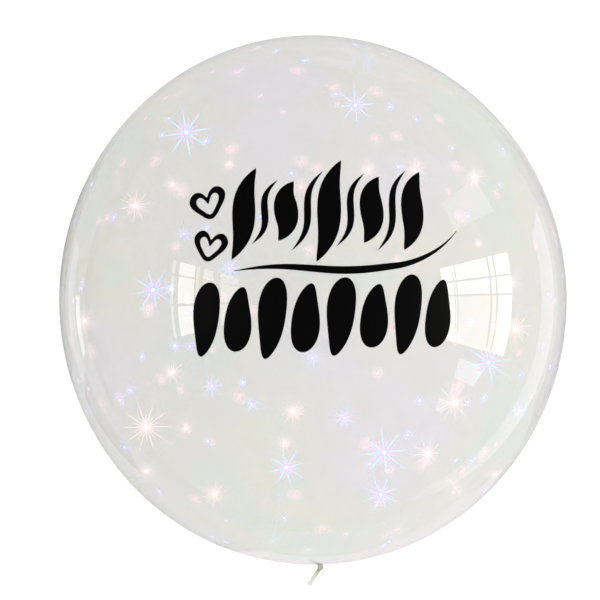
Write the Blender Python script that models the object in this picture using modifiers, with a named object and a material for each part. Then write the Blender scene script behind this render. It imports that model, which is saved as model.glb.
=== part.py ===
# Clear bubble balloon, lying on its back with the print side up.
# Metres, +Z up. The origin is the middle of the flat spot that it rests on,
# +Y runs along the balloon from its knotted neck to its crown, and the print faces +Z.
import math

import bmesh
import bpy
from mathutils import Matrix, Vector

# The bubble: a slightly long ball of thin clear film, blown tight.
BUBBLE_WIDTH = 0.560
BUBBLE_LENGTH = 0.584
REST_SPOT_RADIUS = 0.042
BUBBLE_SEGMENTS = 60
BUBBLE_ROWS = 34

# The neck, gathered in, knotted close to the ball and trimmed to a short flat tail.
GATHER_RADIUS = 0.016
NECK_RADIUS = 0.0024
NECK_LENGTH = 0.0010
KNOT_RADIUS = 0.0034
KNOT_LENGTH = 0.0048
KNOT_ROWS = 5
TAIL_LENGTH = 0.0230
TAIL_ROOT_WIDTH = 0.0042
TAIL_END_WIDTH = 0.0056
TAIL_THICKNESS = 0.0014
TAIL_LEAN = math.radians(35)

# Cut black vinyl, stuck on the film.
VINYL_THICKNESS = 0.0004
VINYL_GAP = 0.0003
STROKE_END_WIDTH = 0.0008
STROKE_STEPS = 14
SWASH_STEPS = 36
OUTLINE_STEPS = 40

# The swash, a line under the upper row. The print's places are distances over the film from
# the middle of the print side: across is along +X and along is along +Y.
SWASH_ALONG = 0.0345
SWASH_WAVE = 0.0030
SWASH_WAVE_COUNT = 1.5
SWASH_FLICK_RISE = 0.041
SWASH_FLICK_START = 0.70
SWASH_FLICK_PAST_ROW = 0.042
SWASH_WIDTH = 0.0085

# The upper row stands on the swash, and is as wide as its places for strokes.
UPPER_ROW_ACROSS = 0.020
UPPER_ROW_WIDTH = 0.214
UPPER_ROW_TO_SWASH = 0.005
UPPER_STROKE_HEIGHT = 0.120
LEAF_WIDTH = 0.0265
LEAF_SLANT = math.radians(15)
LEAF_BOW = 0.0045
LEAF_FULLNESS = 0.8
HAIRLINE_WIDTH = 0.0080
HAIRLINE_SLANT = math.radians(22)
HAIRLINE_BOW = 0.0060

# The lower row hangs under the swash.
LOWER_ROW_ACROSS = 0.010
LOWER_ROW_WIDTH = 0.300
LOWER_ROW_TO_SWASH = 0.0085
LOWER_STROKE_HEIGHT = 0.090
DAB_WIDTH = 0.0345
DAB_SLANT = math.radians(12)
DAB_BOW = 0.0016
DAB_TAPER = 0.50
# How far from its heavy end a dab has its plain width, as a share of its height.
DAB_PLAIN_WIDTH_AT = 0.25

# Two hearts stand one over the other on the left of the upper row.
HEARTS_TO_ROW = 0.0075
HEARTS_APART = 0.0070
UPPER_HEART_ALONG = 0.112
UPPER_HEART_WIDTH = 0.0445
UPPER_HEART_TURN = math.radians(14)
LOWER_HEART_WIDTH = 0.0410
LOWER_HEART_TURN = math.radians(-13)
HEART_BAND = 0.0066
# The width of the heart formula's own curve, and how far up its middle is moved to its height's middle.
HEART_CURVE_WIDTH = 32
HEART_CURVE_RISE = 2.5

# How tall each stroke is, as a share of the tallest in its row, from left to right.
# In the upper row every second stroke is a hairline.
UPPER_STROKE_SHARES = (0.90, 0.64, 0.58, 0.80, 1.00, 0.74, 0.66, 0.84, 0.80)
LOWER_STROKE_SHARES = (0.94, 0.80, 1.00, 0.84, 0.96, 0.78, 1.00, 0.86)

# Corners nearer to each other than this are one corner.
MERGE_DISTANCE = 0.00002

UPPER_ROW_START = UPPER_ROW_ACROSS - UPPER_ROW_WIDTH / 2
UPPER_ROW_ALONG = SWASH_ALONG + UPPER_ROW_TO_SWASH + UPPER_STROKE_HEIGHT / 2
LOWER_ROW_ALONG = SWASH_ALONG - LOWER_ROW_TO_SWASH - LOWER_STROKE_HEIGHT / 2
UPPER_HEART_ACROSS = UPPER_ROW_START - HEARTS_TO_ROW - UPPER_HEART_WIDTH / 2
LOWER_HEART_ACROSS = UPPER_ROW_START - HEARTS_TO_ROW - LOWER_HEART_WIDTH / 2
LOWER_HEART_ALONG = UPPER_HEART_ALONG - HEARTS_APART - (UPPER_HEART_WIDTH + LOWER_HEART_WIDTH) / 2

HALF_WIDTH = BUBBLE_WIDTH / 2
HALF_LENGTH = BUBBLE_LENGTH / 2
CENTRE_HEIGHT = math.sqrt(HALF_WIDTH**2 - REST_SPOT_RADIUS**2)
CENTRE = Vector((0, 0, CENTRE_HEIGHT))


def clear_scene():
    for obj in list(bpy.data.objects):
        bpy.data.objects.remove(obj, do_unlink=True)


def new_collection(name):
    collection = bpy.data.collections.new(name)
    bpy.context.scene.collection.children.link(collection)
    return collection


def new_material(name, colour, roughness, alpha=1.0):
    """A Principled material. colour is linear red, green and blue."""
    material = bpy.data.materials.new(name)
    material.use_nodes = True
    shader = material.node_tree.nodes["Principled BSDF"]
    shader.inputs["Base Color"].default_value = (*colour, 1)
    shader.inputs["Roughness"].default_value = roughness
    shader.inputs["Metallic"].default_value = 0.0
    shader.inputs["Alpha"].default_value = alpha
    return material


def new_object(name, work, collection, material=None):
    """An object made from a bmesh, which is freed."""
    mesh = bpy.data.meshes.new(name)
    work.to_mesh(mesh)
    work.free()
    obj = bpy.data.objects.new(name, mesh)
    collection.objects.link(obj)
    if material:
        mesh.materials.append(material)
    return obj


def as_cutter(obj):
    obj.hide_render = True
    obj.display_type = "WIRE"
    return obj


def bubble_profile():
    """Half of the bubble's section, from the crown down to the end of the knot, as (radius, height)."""
    gather_angle = math.pi - math.asin(GATHER_RADIUS / HALF_WIDTH)
    points = [
        (HALF_WIDTH * math.sin(gather_angle * i / BUBBLE_ROWS),
         HALF_LENGTH * math.cos(gather_angle * i / BUBBLE_ROWS))
        for i in range(BUBBLE_ROWS + 1)
    ]
    points[0] = (0.0, HALF_LENGTH)
    gather_height = points[-1][1]
    knot_top = -HALF_LENGTH - NECK_LENGTH
    points.append(((GATHER_RADIUS + NECK_RADIUS) / 2, (gather_height * 3 + knot_top) / 4))
    points.append((NECK_RADIUS, knot_top))
    for i in range(1, KNOT_ROWS):
        share = i / KNOT_ROWS
        radius = NECK_RADIUS + (KNOT_RADIUS - NECK_RADIUS) * math.sin(math.pi * share)
        points.append((radius, knot_top - KNOT_LENGTH * share))
    points.append((NECK_RADIUS, knot_top - KNOT_LENGTH))
    points.append((0.0, knot_top - KNOT_LENGTH))
    return points


def turned(name, profile, segments, collection, material=None):
    """A solid turned from (radius, height) points about its own Z axis."""
    work = bmesh.new()
    corners = [work.verts.new((radius, 0, height)) for radius, height in profile]
    for upper, lower in zip(corners, corners[1:]):
        work.edges.new((upper, lower))
    obj = new_object(name, work, collection, material)
    screw = obj.modifiers.new("Turn", "SCREW")
    screw.axis = "Z"
    screw.angle = math.tau
    screw.steps = screw.render_steps = segments
    screw.use_merge_vertices = True
    screw.merge_threshold = MERGE_DISTANCE
    return obj


def tail_strip(collection):
    """The flat tail that sticks out of the knot, as a thin tapered strip that leans towards -X."""
    knot_middle = HALF_LENGTH + NECK_LENGTH + KNOT_LENGTH / 2
    work = bmesh.new()
    bmesh.ops.create_cube(work, size=1)
    for corner in work.verts:
        at_end = corner.co.y < 0
        width = TAIL_END_WIDTH if at_end else TAIL_ROOT_WIDTH
        corner.co.x *= width
        corner.co.y = -TAIL_LENGTH if at_end else 0.0
        corner.co.z *= TAIL_THICKNESS
    lean = Matrix.Rotation(-TAIL_LEAN, 4, "Z")
    place = Matrix.Translation(CENTRE + Vector((0, -knot_middle, 0))) @ lean
    bmesh.ops.transform(work, matrix=place, verts=work.verts)
    return as_cutter(new_object("tail_strip", work, collection))


def floor_block(collection):
    """What the film is cut by where it lies flat: everything below the floor."""
    work = bmesh.new()
    bmesh.ops.create_cube(work, size=2 * BUBBLE_LENGTH)
    bmesh.ops.translate(work, vec=(0, 0, -BUBBLE_LENGTH), verts=work.verts)
    return as_cutter(new_object("floor_block", work, collection))


def add_boolean(obj, other, operation):
    boolean = obj.modifiers.new(operation.title(), "BOOLEAN")
    boolean.operation = operation
    boolean.object = other
    boolean.solver = "EXACT"


def build_bubble(parts, cutters, film):
    """The film bubble with its neck, knot and tail, all one piece of film and sealed."""
    bubble = turned("film_bubble", bubble_profile(), BUBBLE_SEGMENTS, parts, film)
    bubble.location = CENTRE
    bubble.rotation_euler = (-math.pi / 2, 0, 0)
    add_boolean(bubble, tail_strip(cutters), "UNION")
    add_boolean(bubble, floor_block(cutters), "DIFFERENCE")
    for polygon in bubble.data.polygons:
        polygon.use_smooth = True
    return bubble


def on_film(across, along, lift):
    """The point at a distance over the film from the middle of the print side, lifted off it."""
    reach = math.hypot(across, along)
    turn = 2 * reach / (HALF_WIDTH + HALF_LENGTH)
    share = math.sin(turn) / reach if reach else 0.0
    ray = Vector((across * share, along * share, math.cos(turn)))
    axes = Vector((HALF_WIDTH, HALF_LENGTH, HALF_WIDTH))
    stretch = 1 / math.sqrt(sum((r / a) ** 2 for r, a in zip(ray, axes)))
    point = ray * stretch
    outward = Vector((p / a**2 for p, a in zip(point, axes))).normalized()
    return CENTRE + point + outward * lift


def thicken(obj):
    """Gives a sheet of vinyl its thickness, outwards from the film."""
    solidify = obj.modifiers.new("Thickness", "SOLIDIFY")
    solidify.thickness = VINYL_THICKNESS
    solidify.offset = 1
    solidify.use_even_offset = True


def place_on_spine(spine, share):
    """The spine's point at this share of its length, and the direction to its left there."""
    step = 0.001
    ahead = Vector(spine(share + step)) - Vector(spine(share - step))
    return Vector(spine(share)), Vector((-ahead.y, ahead.x)).normalized()


def vinyl_ribbon(name, spine, half_width, steps, collection, material):
    """A cut stroke laid over the film: a strip along spine(share), half_width(share) wide each side."""
    work = bmesh.new()
    bmesh.ops.create_grid(work, x_segments=steps, y_segments=2, size=1)
    for corner in work.verts:
        share = (1 - math.cos(math.pi * (corner.co.x + 1) / 2)) / 2
        here, left = place_on_spine(spine, share)
        flat = here + left * corner.co.y * max(half_width(share), STROKE_END_WIDTH / 2)
        corner.co = on_film(flat.x, flat.y, VINYL_GAP)
    obj = new_object(name, work, collection, material)
    thicken(obj)
    return obj


def vinyl_outline(name, outer, inner, collection, material):
    """A closed band laid over the film, between outer(angle) and inner(angle), which go with the clock."""
    work = bmesh.new()
    bmesh.ops.create_grid(work, x_segments=OUTLINE_STEPS, y_segments=1, size=1)
    for corner in work.verts:
        # The outer edge is on the left of the way round, which turns the faces outwards.
        angle = math.pi * corner.co.x
        flat = outer(angle) if corner.co.y > 0 else inner(angle)
        corner.co = on_film(flat.x, flat.y, VINYL_GAP)
    bmesh.ops.remove_doubles(work, verts=work.verts, dist=MERGE_DISTANCE)
    obj = new_object(name, work, collection, material)
    thicken(obj)
    return obj


def leaf_width(width):
    """A brush stroke that swells from a point to its full width and back."""
    return lambda share: width / 2 * math.sin(math.pi * share) ** LEAF_FULLNESS


def dab_width(heavy_end):
    """A dab that is round and full at one end, 0 or 1, and narrows towards the other."""

    def half(share):
        from_heavy = abs(share - heavy_end)
        round_ends = math.sqrt(max(0.0, 1 - (2 * share - 1) ** 2))
        return DAB_WIDTH / 2 * round_ends * (1 + DAB_TAPER * (DAB_PLAIN_WIDTH_AT - from_heavy))

    return half


def slanted_spine(middle, height, slant, bow):
    """A spine that leans by slant and bows sideways by bow, through middle."""
    lean = Vector((math.sin(slant), math.cos(slant)))
    sideways = Vector((lean.y, -lean.x))

    def spine(share):
        along = (share - 0.5) * height
        across = bow * math.sin(math.tau * share)
        return Vector(middle) + lean * along + sideways * across

    return spine


def row_places(middle, width, count):
    """The middles of count strokes spread evenly over a row of this width."""
    pitch = width / count
    return [middle + pitch * (i - (count - 1) / 2) for i in range(count)]


def build_upper_row(parts, vinyl):
    """Tall brushed strokes: broad leaves with a hairline between each two."""
    places = row_places(UPPER_ROW_ACROSS, UPPER_ROW_WIDTH, len(UPPER_STROKE_SHARES))
    kinds = (
        ("leaf", LEAF_WIDTH, LEAF_SLANT, LEAF_BOW),
        ("hairline", HAIRLINE_WIDTH, HAIRLINE_SLANT, HAIRLINE_BOW),
    )
    for number, (across, share) in enumerate(zip(places, UPPER_STROKE_SHARES)):
        kind, width, slant, bow = kinds[number % 2]
        spine = slanted_spine((across, UPPER_ROW_ALONG), UPPER_STROKE_HEIGHT * share, slant, bow)
        name = f"vinyl_{kind}_{number // 2 + 1}"
        vinyl_ribbon(name, spine, leaf_width(width), STROKE_STEPS, parts, vinyl)


def build_swash(parts, vinyl):
    """The thin line that runs under the upper row and flicks up past its last stroke."""

    def spine(share):
        across = UPPER_ROW_START + (UPPER_ROW_WIDTH + SWASH_FLICK_PAST_ROW) * share
        wave = SWASH_WAVE * math.sin(math.tau * SWASH_WAVE_COUNT * share)
        flick = max(0.0, (share - SWASH_FLICK_START) / (1 - SWASH_FLICK_START)) ** 2
        return Vector((across, SWASH_ALONG + wave * (1 - flick) + SWASH_FLICK_RISE * flick))

    vinyl_ribbon("vinyl_swash", spine, leaf_width(SWASH_WIDTH), SWASH_STEPS, parts, vinyl)


def build_lower_row(parts, vinyl):
    """Heavy slanted dabs that stand on their heavy and their narrow end by turns."""
    places = row_places(LOWER_ROW_ACROSS, LOWER_ROW_WIDTH, len(LOWER_STROKE_SHARES))
    for number, (across, share) in enumerate(zip(places, LOWER_STROKE_SHARES), start=1):
        spine = slanted_spine((across, LOWER_ROW_ALONG), LOWER_STROKE_HEIGHT * share, DAB_SLANT, DAB_BOW)
        vinyl_ribbon(f"vinyl_dab_{number}", spine, dab_width(number % 2), STROKE_STEPS, parts, vinyl)


def heart_edge(place, width, turn):
    """Once round a heart of this width at place, with the clock from its tip."""
    swing = Matrix.Rotation(turn, 2)

    def edge(angle):
        # The formula's tip is at half a turn.
        round_from_top = angle - math.pi
        across = 16 * math.sin(round_from_top) ** 3
        along = (
            13 * math.cos(round_from_top)
            - 5 * math.cos(2 * round_from_top)
            - 2 * math.cos(3 * round_from_top)
            - math.cos(4 * round_from_top)
        )
        point = Vector((across, along + HEART_CURVE_RISE)) * (width / HEART_CURVE_WIDTH)
        return swing @ point + Vector(place)

    return edge


def build_hearts(parts, vinyl):
    """Two small hearts, one over the other, each cut as an open outline."""
    hearts = (
        ("upper", UPPER_HEART_WIDTH, (UPPER_HEART_ACROSS, UPPER_HEART_ALONG), UPPER_HEART_TURN),
        ("lower", LOWER_HEART_WIDTH, (LOWER_HEART_ACROSS, LOWER_HEART_ALONG), LOWER_HEART_TURN),
    )
    for which, width, place, turn in hearts:
        outer = heart_edge(place, width, turn)
        inner = heart_edge(place, width - 2 * HEART_BAND, turn)
        vinyl_outline(f"vinyl_heart_{which}", outer, inner, parts, vinyl)


def build():
    clear_scene()
    parts = new_collection("bubble_balloon")
    cutters = new_collection("bubble_balloon_cutters")
    cutters.hide_render = True
    film = new_material("clear_film", (0.78, 0.79, 0.78), 0.08, alpha=0.3)
    vinyl = new_material("black_vinyl", (0.004, 0.004, 0.004), 0.35)
    build_bubble(parts, cutters, film)
    build_hearts(parts, vinyl)
    build_upper_row(parts, vinyl)
    build_swash(parts, vinyl)
    build_lower_row(parts, vinyl)


build()
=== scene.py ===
# %% [markdown]
# # A clear bubble balloon
#
# The balloon is one bubble of thin clear film, blown tight and knotted at its neck, with
# a print cut from black vinyl on its front, and sparkling tinsel and spangles inside it. It is
# light and round, so it lies on its back, and the camera looks straight down on its front.
#
# The frame gives the plain solids in metres: +Z is up and out of the printed front, +Y runs
# from the knot to the crown, and the origin is the middle of the spot that it rests on.

# %% Load the frame
import math

import bmesh
import bpy
from mathutils import Matrix, Vector


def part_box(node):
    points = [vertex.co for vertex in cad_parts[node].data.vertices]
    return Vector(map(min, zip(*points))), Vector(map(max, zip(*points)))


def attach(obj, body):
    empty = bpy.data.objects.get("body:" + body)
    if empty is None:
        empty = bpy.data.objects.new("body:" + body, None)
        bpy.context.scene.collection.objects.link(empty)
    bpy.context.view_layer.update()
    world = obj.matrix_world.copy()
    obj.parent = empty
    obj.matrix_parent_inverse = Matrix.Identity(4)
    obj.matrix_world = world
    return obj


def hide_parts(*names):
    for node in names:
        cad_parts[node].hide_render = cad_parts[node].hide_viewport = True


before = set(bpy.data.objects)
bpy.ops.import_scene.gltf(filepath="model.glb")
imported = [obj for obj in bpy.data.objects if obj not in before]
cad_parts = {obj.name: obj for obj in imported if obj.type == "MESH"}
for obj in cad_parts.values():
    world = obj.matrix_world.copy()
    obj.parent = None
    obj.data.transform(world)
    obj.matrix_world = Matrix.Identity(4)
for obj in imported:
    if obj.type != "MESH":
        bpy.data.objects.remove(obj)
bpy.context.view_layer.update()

print("solids:", len(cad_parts))

# %% [markdown]
# ## Sizes
#
# Everything lies on or just inside one surface, a spheroid: a ball drawn out a little along
# Y. A few numbers say where that surface is, and every piece is laid on it by them.

# %% The bubble's sizes, in metres
HALF_WIDTH = 0.280
HALF_LENGTH = 0.292
REST_SPOT_RADIUS = 0.042
CENTRE_HEIGHT = math.sqrt(HALF_WIDTH**2 - REST_SPOT_RADIUS**2)
CENTRE = Vector((0.0, 0.0, CENTRE_HEIGHT))
AXES = Vector((HALF_WIDTH, HALF_LENGTH, HALF_WIDTH))

film_low, film_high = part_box("film_bubble")
print("film's solid from", tuple(film_low), "to", tuple(film_high))

# %% [markdown]
# ## Small helpers
#
# Colours are picked as sRGB hex values, as a paint program shows them, but shaders add up
# light, so one function turns hex into linear numbers. Another adds a node with its settings
# and its links in one line, for materials and for Geometry Nodes alike. The last one makes
# a mesh object, with numbers on its points where a material or a tree asks for them.


# %% Colour, node and mesh helpers
def linear(hex_colour):
    """A hex sRGB colour as linear (r, g, b, 1)."""
    shares = [int(hex_colour[i : i + 2], 16) / 255 for i in (1, 3, 5)]
    return (*(s / 12.92 if s <= 0.04045 else ((s + 0.055) / 1.055) ** 2.4 for s in shares), 1.0)


def feed(tree, node, inputs):
    """Gives a node's inputs, by name or number, plain values or links from other nodes' outputs."""
    for name, value in inputs.items():
        if isinstance(value, bpy.types.NodeSocket):
            tree.links.new(value, node.inputs[name])
        else:
            node.inputs[name].default_value = value


def add(tree, kind, settings=None, inputs=None):
    """Adds a node with its settings, and feeds its inputs."""
    node = tree.nodes.new(kind)
    for name, value in (settings or {}).items():
        setattr(node, name, value)
    feed(tree, node, inputs or {})
    return node


def mesh_object(name, points, faces, material=None, smooth=True, numbers=None):
    """A mesh object at the origin, its faces turned outwards, with named numbers on its points."""
    mesh = bpy.data.meshes.new(name)
    mesh.from_pydata([tuple(p) for p in points], [], faces)
    work = bmesh.new()
    work.from_mesh(mesh)
    bmesh.ops.recalc_face_normals(work, faces=work.faces)
    work.to_mesh(mesh)
    work.free()
    mesh.polygons.foreach_set("use_smooth", [smooth] * len(mesh.polygons))
    for title, values in (numbers or {}).items():
        mesh.attributes.new(title, "FLOAT", "POINT").data.foreach_set("value", values)
    obj = bpy.data.objects.new(name, mesh)
    bpy.context.scene.collection.objects.link(obj)
    if material:
        mesh.materials.append(material)
    return obj


print("mid grey is", round(linear("#808080")[0], 3), "in linear light")

# %% [markdown]
# ## Laying things on the film
#
# The print was cut flat and then smoothed onto the ball. So each stroke is drawn flat, as
# distances across and along from the middle of the front, and every point is carried to the
# ball by walking that far over the film. That keeps the strokes' widths true, where a plain
# projection from above would stretch the outer ones.


# %% From flat distances to the film
def on_film(across, along, lift=0.0):
    """The point that far over the film from the middle of the front, lifted off it."""
    reach = math.hypot(across, along)
    turn = 2 * reach / (HALF_WIDTH + HALF_LENGTH)
    share = math.sin(turn) / reach if reach else 0.0
    ray = Vector((across * share, along * share, math.cos(turn)))
    stretch = 1 / math.sqrt(sum((r / a) ** 2 for r, a in zip(ray, AXES)))
    point = ray * stretch
    outward = Vector([p / a**2 for p, a in zip(point, AXES)]).normalized()
    return CENTRE + point + outward * lift


print("100 mm to the right of the middle is at", tuple(round(v, 4) for v in on_film(0.1, 0)))

# %% [markdown]
# ## What the materials share
#
# No real surface is quite even. So most materials here start from soft noise, turn it into
# a ramp of colours or a range of values, and let it lift the surface a little. Each of those
# steps is a node or two, so each gets a function.


# %% Noise, ranges, ramps and bumps
def new_material(name):
    """A node material with a Principled shader, and its tree."""
    material = bpy.data.materials.new(name)
    material.use_nodes = True
    return material, material.node_tree, material.node_tree.nodes["Principled BSDF"]


def object_place(tree):
    """Where on the object a point is, in metres."""
    return add(tree, "ShaderNodeTexCoord").outputs["Object"]


def noise(tree, width, detail=2.0):
    """Soft noise from 0 to 1, with grains about as wide as that, in metres."""
    inputs = {"Vector": object_place(tree), "Scale": 1 / width, "Detail": detail}
    return add(tree, "ShaderNodeTexNoise", {}, inputs).outputs["Fac"]


def spread(tree, value, low=0.0, high=1.0, start=0.0, end=1.0):
    """Spreads a value that runs from start to end over a range from low to high."""
    inputs = {"Value": value, "From Min": start, "From Max": end, "To Min": low, "To Max": high}
    return add(tree, "ShaderNodeMapRange", {}, inputs).outputs["Result"]


def shade_across(tree, towards, reach, low, high):
    """A value that grows from low to high towards one side, over that reach either way."""
    inputs = {0: object_place(tree), 1: towards}
    along = add(tree, "ShaderNodeVectorMath", {"operation": "DOT_PRODUCT"}, inputs)
    return spread(tree, along.outputs["Value"], low, high, -reach, reach)


def ramp(tree, value, stops):
    """The colour that stands for a value, by stops of (value, hex colour) from the lowest up."""
    node = add(tree, "ShaderNodeValToRGB", {}, {"Fac": value})
    elements = node.color_ramp.elements
    elements[0].position, elements[-1].position = stops[0][0], stops[-1][0]
    for position, colour in stops[1:-1]:
        elements.new(position)
    for element, (position, colour) in zip(elements, stops):
        element.color = linear(colour)
    return node.outputs["Color"]


def scaled(tree, colour, value):
    """A colour made darker or lighter by a value."""
    inputs = {0: colour, "Scale": value}
    return add(tree, "ShaderNodeVectorMath", {"operation": "SCALE"}, inputs).outputs["Vector"]


def bumps(tree, height, strength, depth):
    """A surface's normal with bumps on it: height runs from 0 to 1, and depth is in metres."""
    inputs = {"Strength": strength, "Distance": depth, "Height": height}
    return add(tree, "ShaderNodeBump", {}, inputs).outputs["Normal"]


shared = (noise, spread, shade_across, ramp, scaled, bumps)
print("shared by the materials:", ", ".join(function.__name__ for function in shared))

# %% [markdown]
# ## The film's finish
#
# Bubble film is clear stretch plastic, cast as a tube, blown and shrunk. It bends light no
# more than a window pane does, since its two faces run side by side, so it is given a thin
# wall with an inner and an outer face and a full Transmission Weight. Each wall takes a little
# of the light and tints it: faint green, cream and lilac zones drift over a real one. The tint
# is also painted darker towards the left, as painted shade on the side that gets less light.
# The shader's IOR of 1.5 is that of the plastic, and the low roughness keeps windows sharp in it.

# %% Stretched clear film
FILM_TINTS = ("#e8ede8", "#edece6", "#ebebea", "#edebed")
FIRST_TINT_AT = 0.36
LAST_TINT_AT = 0.64
TINT_ZONE = 0.15
RIPPLE_WIDTH = 0.05
RIPPLE_HEIGHT = 0.001
# Painted shade: the way towards the lit side, and how much of the tint is left on the shaded left and the
# lit right.
TOWARDS_LIT_SIDE = (0.95, -0.31, 0.0)
SHADED_SIDE_TINT = 0.925
LIT_SIDE_TINT = 0.99

film_material, tree, shader = new_material("stretched_clear_film")
tint_gap = (LAST_TINT_AT - FIRST_TINT_AT) / (len(FILM_TINTS) - 1)
stops = [(FIRST_TINT_AT + tint_gap * number, tint) for number, tint in enumerate(FILM_TINTS)]
tints = ramp(tree, noise(tree, TINT_ZONE, detail=4.0), stops)
# Painted shade: the film's colour is made darker towards the left, where less light falls, and lighter
# towards the right.
painted_side_shade = shade_across(tree, TOWARDS_LIT_SIDE, HALF_WIDTH, SHADED_SIDE_TINT, LIT_SIDE_TINT)
ripples = noise(tree, RIPPLE_WIDTH, detail=1.0)
feed(
    tree,
    shader,
    {
        "Base Color": scaled(tree, tints, painted_side_shade),
        "Normal": bumps(tree, ripples, strength=0.02, depth=RIPPLE_HEIGHT),
        "Transmission Weight": 1.0,
        "Roughness": 0.005,
        "IOR": 1.5,
    },
)
print("film tints:", ", ".join(FILM_TINTS))

# %% [markdown]
# ## The bubble
#
# The film could be a plain sphere squeezed to size, but the real one is gathered at its
# neck: the film is pinched together there, and pleats run out from the pinch and die away
# over the ball. So the ball is turned from rows of points, crown to neck, and each point is
# moved in or out by pleats whose depth grows towards the neck. Where the ball rests, soft
# film settles flat on the table, with no hard edge round the spot.

# %% Pleats and the resting spot
GATHER_RADIUS = 0.016
NECK_RADIUS = 0.0024
NECK_LENGTH = 0.0010
PLEAT_COUNT = 26
PLEAT_DEPTH = 0.0011
PLEAT_REACH = 0.075
PLEAT_SHARE = 0.7
# Each wave is (size, waves around the neck, where it starts).
PLEAT_WANDER = ((1.4, 3, 0), (0.9, 5, 1))
PLEAT_UNEVENNESS = ((0.3, 7, 2), (0.2, 11, 0))
SETTLE_SOFTNESS = 0.0015


def waves(kinds, around):
    """The sum of some waves, each (size, how many go round, start), at an angle."""
    return sum(size * math.sin(count * around + start) for size, count, start in kinds)


def pleat(around, from_neck):
    """How far a pleat lifts the film, at an angle around the neck and a distance from it."""
    fade = max(0.0, 1 - from_neck / PLEAT_REACH) ** 2
    fold = math.cos(PLEAT_COUNT * around + waves(PLEAT_WANDER, around))
    return PLEAT_DEPTH * fade * fold * (PLEAT_SHARE + waves(PLEAT_UNEVENNESS, around))


def settle(height):
    """Soft film can't go below the table, and leaves it gently round the resting spot."""
    return (height + math.sqrt(height**2 + SETTLE_SOFTNESS**2)) / 2


print("pleats", round(1000 * GATHER_RADIUS * math.tau / PLEAT_COUNT, 1), "mm apart at the gather")

# %% The film's mesh
BUBBLE_ROWS = 120
BUBBLE_SEGMENTS = 208
ROWS_DRAW_TOGETHER = 0.09
NECK_ROWS = 10
NECK_CURVE = 1.5
SAG_WAVE = 0.00012
FULL_SAG_RADIUS = 0.1
WALL = 0.0006


def turned_faces(rows, segments):
    """Faces of a closed turned form: a first point, rows of points round it and a last point."""
    last_row = 1 + (rows - 1) * segments
    faces = []
    for step in range(segments):
        after = (step + 1) % segments
        faces.append((0, 1 + step, 1 + after))
        for upper in range(1, last_row, segments):
            lower = upper + segments
            faces.append((upper + step, lower + step, lower + after, upper + after))
        faces.append((last_row + step, last_row + segments, last_row + after))
    return faces


def film_rows():
    """(radius, place along Y, distance from the neck) from near the crown to the knot."""
    gather_angle = math.pi - math.asin(GATHER_RADIUS / HALF_WIDTH)
    rows = []
    for i in range(1, BUBBLE_ROWS + 1):
        # Rows draw closer together towards the neck, where the pleats need them.
        share = i / BUBBLE_ROWS
        angle = gather_angle * (share + ROWS_DRAW_TOGETHER * math.sin(math.pi * share) * share)
        distance = (math.pi - angle) * HALF_WIDTH
        rows.append((HALF_WIDTH * math.sin(angle), HALF_LENGTH * math.cos(angle), distance))
    gather_radius, gather_place, distance = rows[-1]
    for i in range(1, NECK_ROWS + 1):
        share = i / NECK_ROWS
        radius = NECK_RADIUS + (gather_radius - NECK_RADIUS) * (1 - share) ** NECK_CURVE
        place = gather_place + (-HALF_LENGTH - NECK_LENGTH - gather_place) * share**NECK_CURVE
        rows.append((radius, place, distance * (1 - share)))
    return rows


def film_point(radius, along, from_neck, around):
    """A point of the film, with its pleats, its rest on the table and slow waves that cross."""
    fold = pleat(around, from_neck) * min(1.0, radius / GATHER_RADIUS)
    sag = SAG_WAVE * math.sin(3 * around + 21 * along) * math.sin(5 * around - 13 * along + 1)
    reach = radius + fold + sag * min(1.0, radius / FULL_SAG_RADIUS)
    out = Vector((math.sin(around) * reach, along, math.cos(around) * reach)) + CENTRE
    out.z = settle(out.z) if out.z < HALF_WIDTH / 2 else out.z
    return out


rows = film_rows()
points = [CENTRE + Vector((0, HALF_LENGTH, 0))]
for radius, along, from_neck in rows:
    for step in range(BUBBLE_SEGMENTS):
        points.append(film_point(radius, along, from_neck, math.tau * step / BUBBLE_SEGMENTS))
points.append(CENTRE + Vector((0, rows[-1][1], 0)))
faces = turned_faces(len(rows), BUBBLE_SEGMENTS)
film = mesh_object("film_skin", points, faces, film_material)
wall = film.modifiers.new("Wall", "SOLIDIFY")
wall.thickness = WALL
wall.offset = -1
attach(film, "root")
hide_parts("film_bubble")
film.visible_diffuse = False
film.visible_shadow = False
print("film faces:", len(faces))

# %% [markdown]
# ## The knot and the tail
#
# The neck is twisted shut and tied in a knot of its own film, and the film past the knot is
# trimmed to a short tail. Many layers lie on each other there, so it looks milky and a bit
# yellow, where one layer is clear. Its colour is painted darkest at the tight knot, partly for
# the many layers and partly as painted shade in the knot, and painted shade and light follow its
# creases. The knot is a small bead with grooves that wind round it, and the tail a fan of narrow
# pleats that spreads and leans to one side.

# %% Gathered film's finish
GATHERED_REACH = 0.023
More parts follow.
